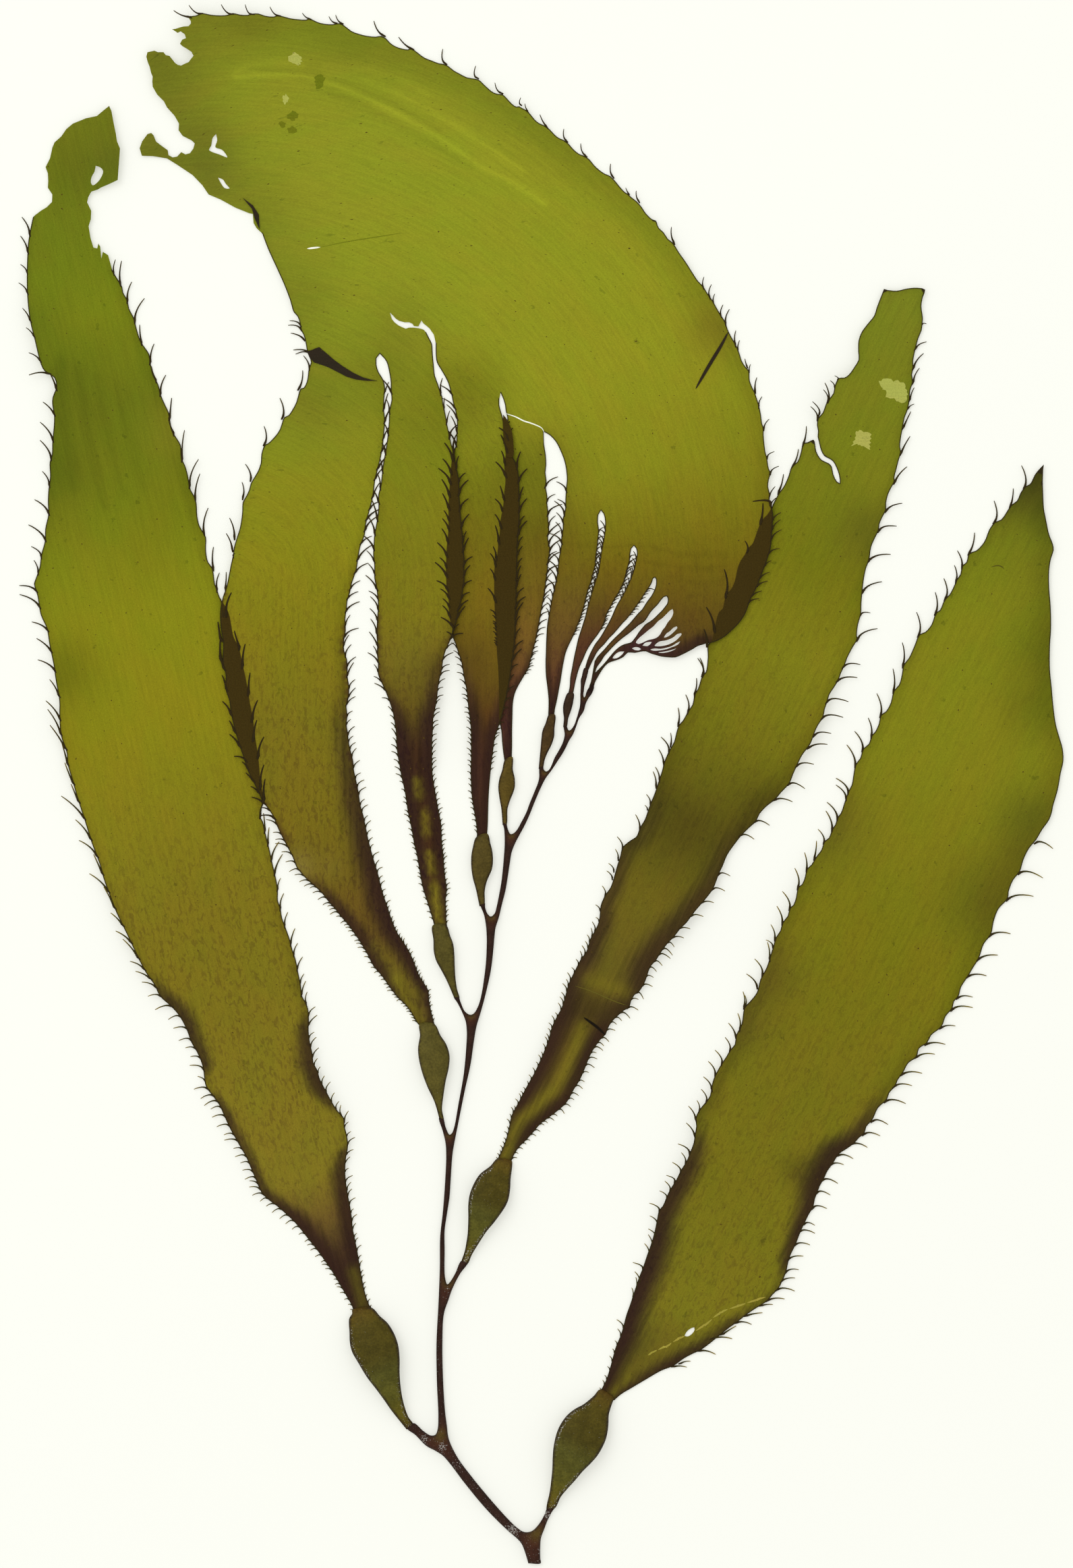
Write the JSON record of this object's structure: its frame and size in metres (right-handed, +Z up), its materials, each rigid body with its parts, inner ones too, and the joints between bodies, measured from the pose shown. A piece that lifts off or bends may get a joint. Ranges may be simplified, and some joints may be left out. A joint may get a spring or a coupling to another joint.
{
  "type": "giant kelp",
  "caption": "Growing tip of a giant kelp frond laid flat: a thin forked stipe with gas floats, long spiny-edged blades, and a broad curved end blade splitting into strips.",
  "frame": {"origin": "centre of the bounding box at its lowest height, on the surface that the frond lies on", "axes": "+Z up out of the surface, +Y along the frond from its cut base to its tip, +X to the right seen from above"},
  "size_m": [0.2798, 0.4174, 0.0055],
  "materials": {
    "stipe": "dried, dark purple-brown with a pale salt bloom",
    "float": "dried, dark olive, slightly glossy",
    "side_blade": "dried, olive and ochre, thin and finely wrinkled",
    "terminal_blade": "dried, yellow-olive, brown at the strips' bases"
  },
  "bodies": {
    "root": {"stipe": "stipe", "float_1": "float", "float_2": "float", "float_3": "float", "float_4": "float", "float_5": "float", "float_6": "float", "float_7": "float", "float_8": "float", "float_9": "float", "float_10": "float", "blade_1": "side_blade", "blade_2": "side_blade", "blade_3": "side_blade", "terminal_blade": "terminal_blade"}
  },
  "joints": []
}
